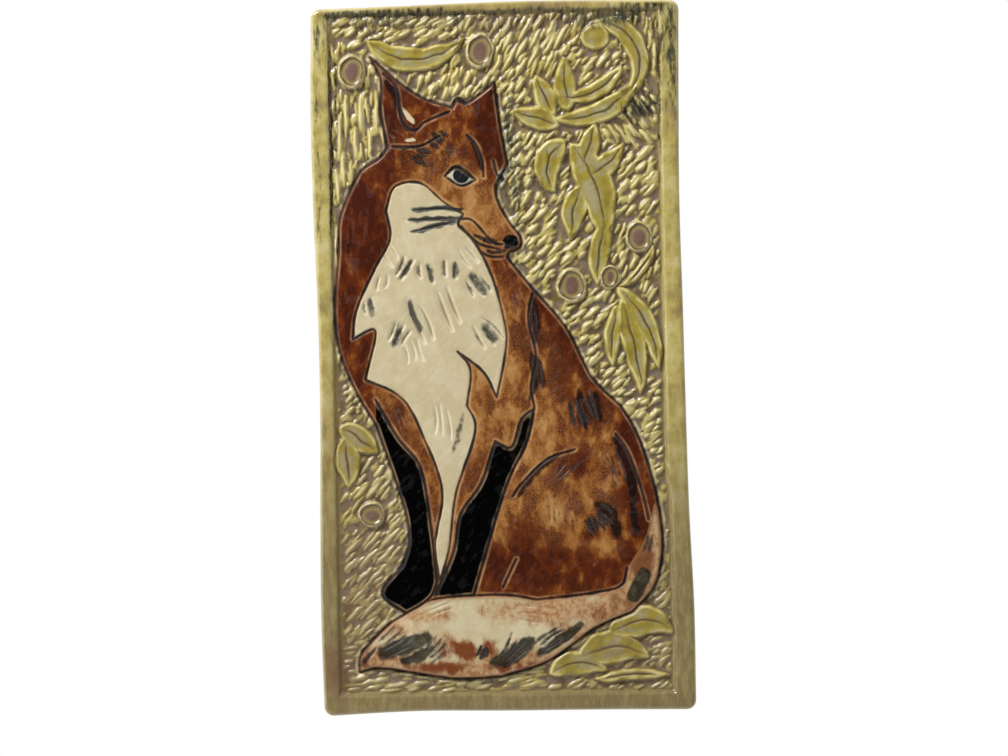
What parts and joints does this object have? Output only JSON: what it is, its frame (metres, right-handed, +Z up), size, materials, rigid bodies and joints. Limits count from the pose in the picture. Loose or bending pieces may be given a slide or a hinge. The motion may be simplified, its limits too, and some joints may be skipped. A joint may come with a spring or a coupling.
{
  "type": "decorative wall plaque",
  "caption": "Tall rectangular glazed ceramic wall plaque carved in low relief with a sitting fox, leaves and berries inside a plain border, flat at the back.",
  "frame": {"origin": "middle of the flat back, on the wall's surface", "axes": "+Z up along the height, +X to the right as the picture is seen, +Y into the wall, the picture faces -Y"},
  "size_m": [0.1977, 0.0131, 0.3759],
  "materials": {
    "glazed_clay": "glossy"
  },
  "bodies": {
    "root": {"plaque": "glazed_clay"}
  },
  "joints": []
}
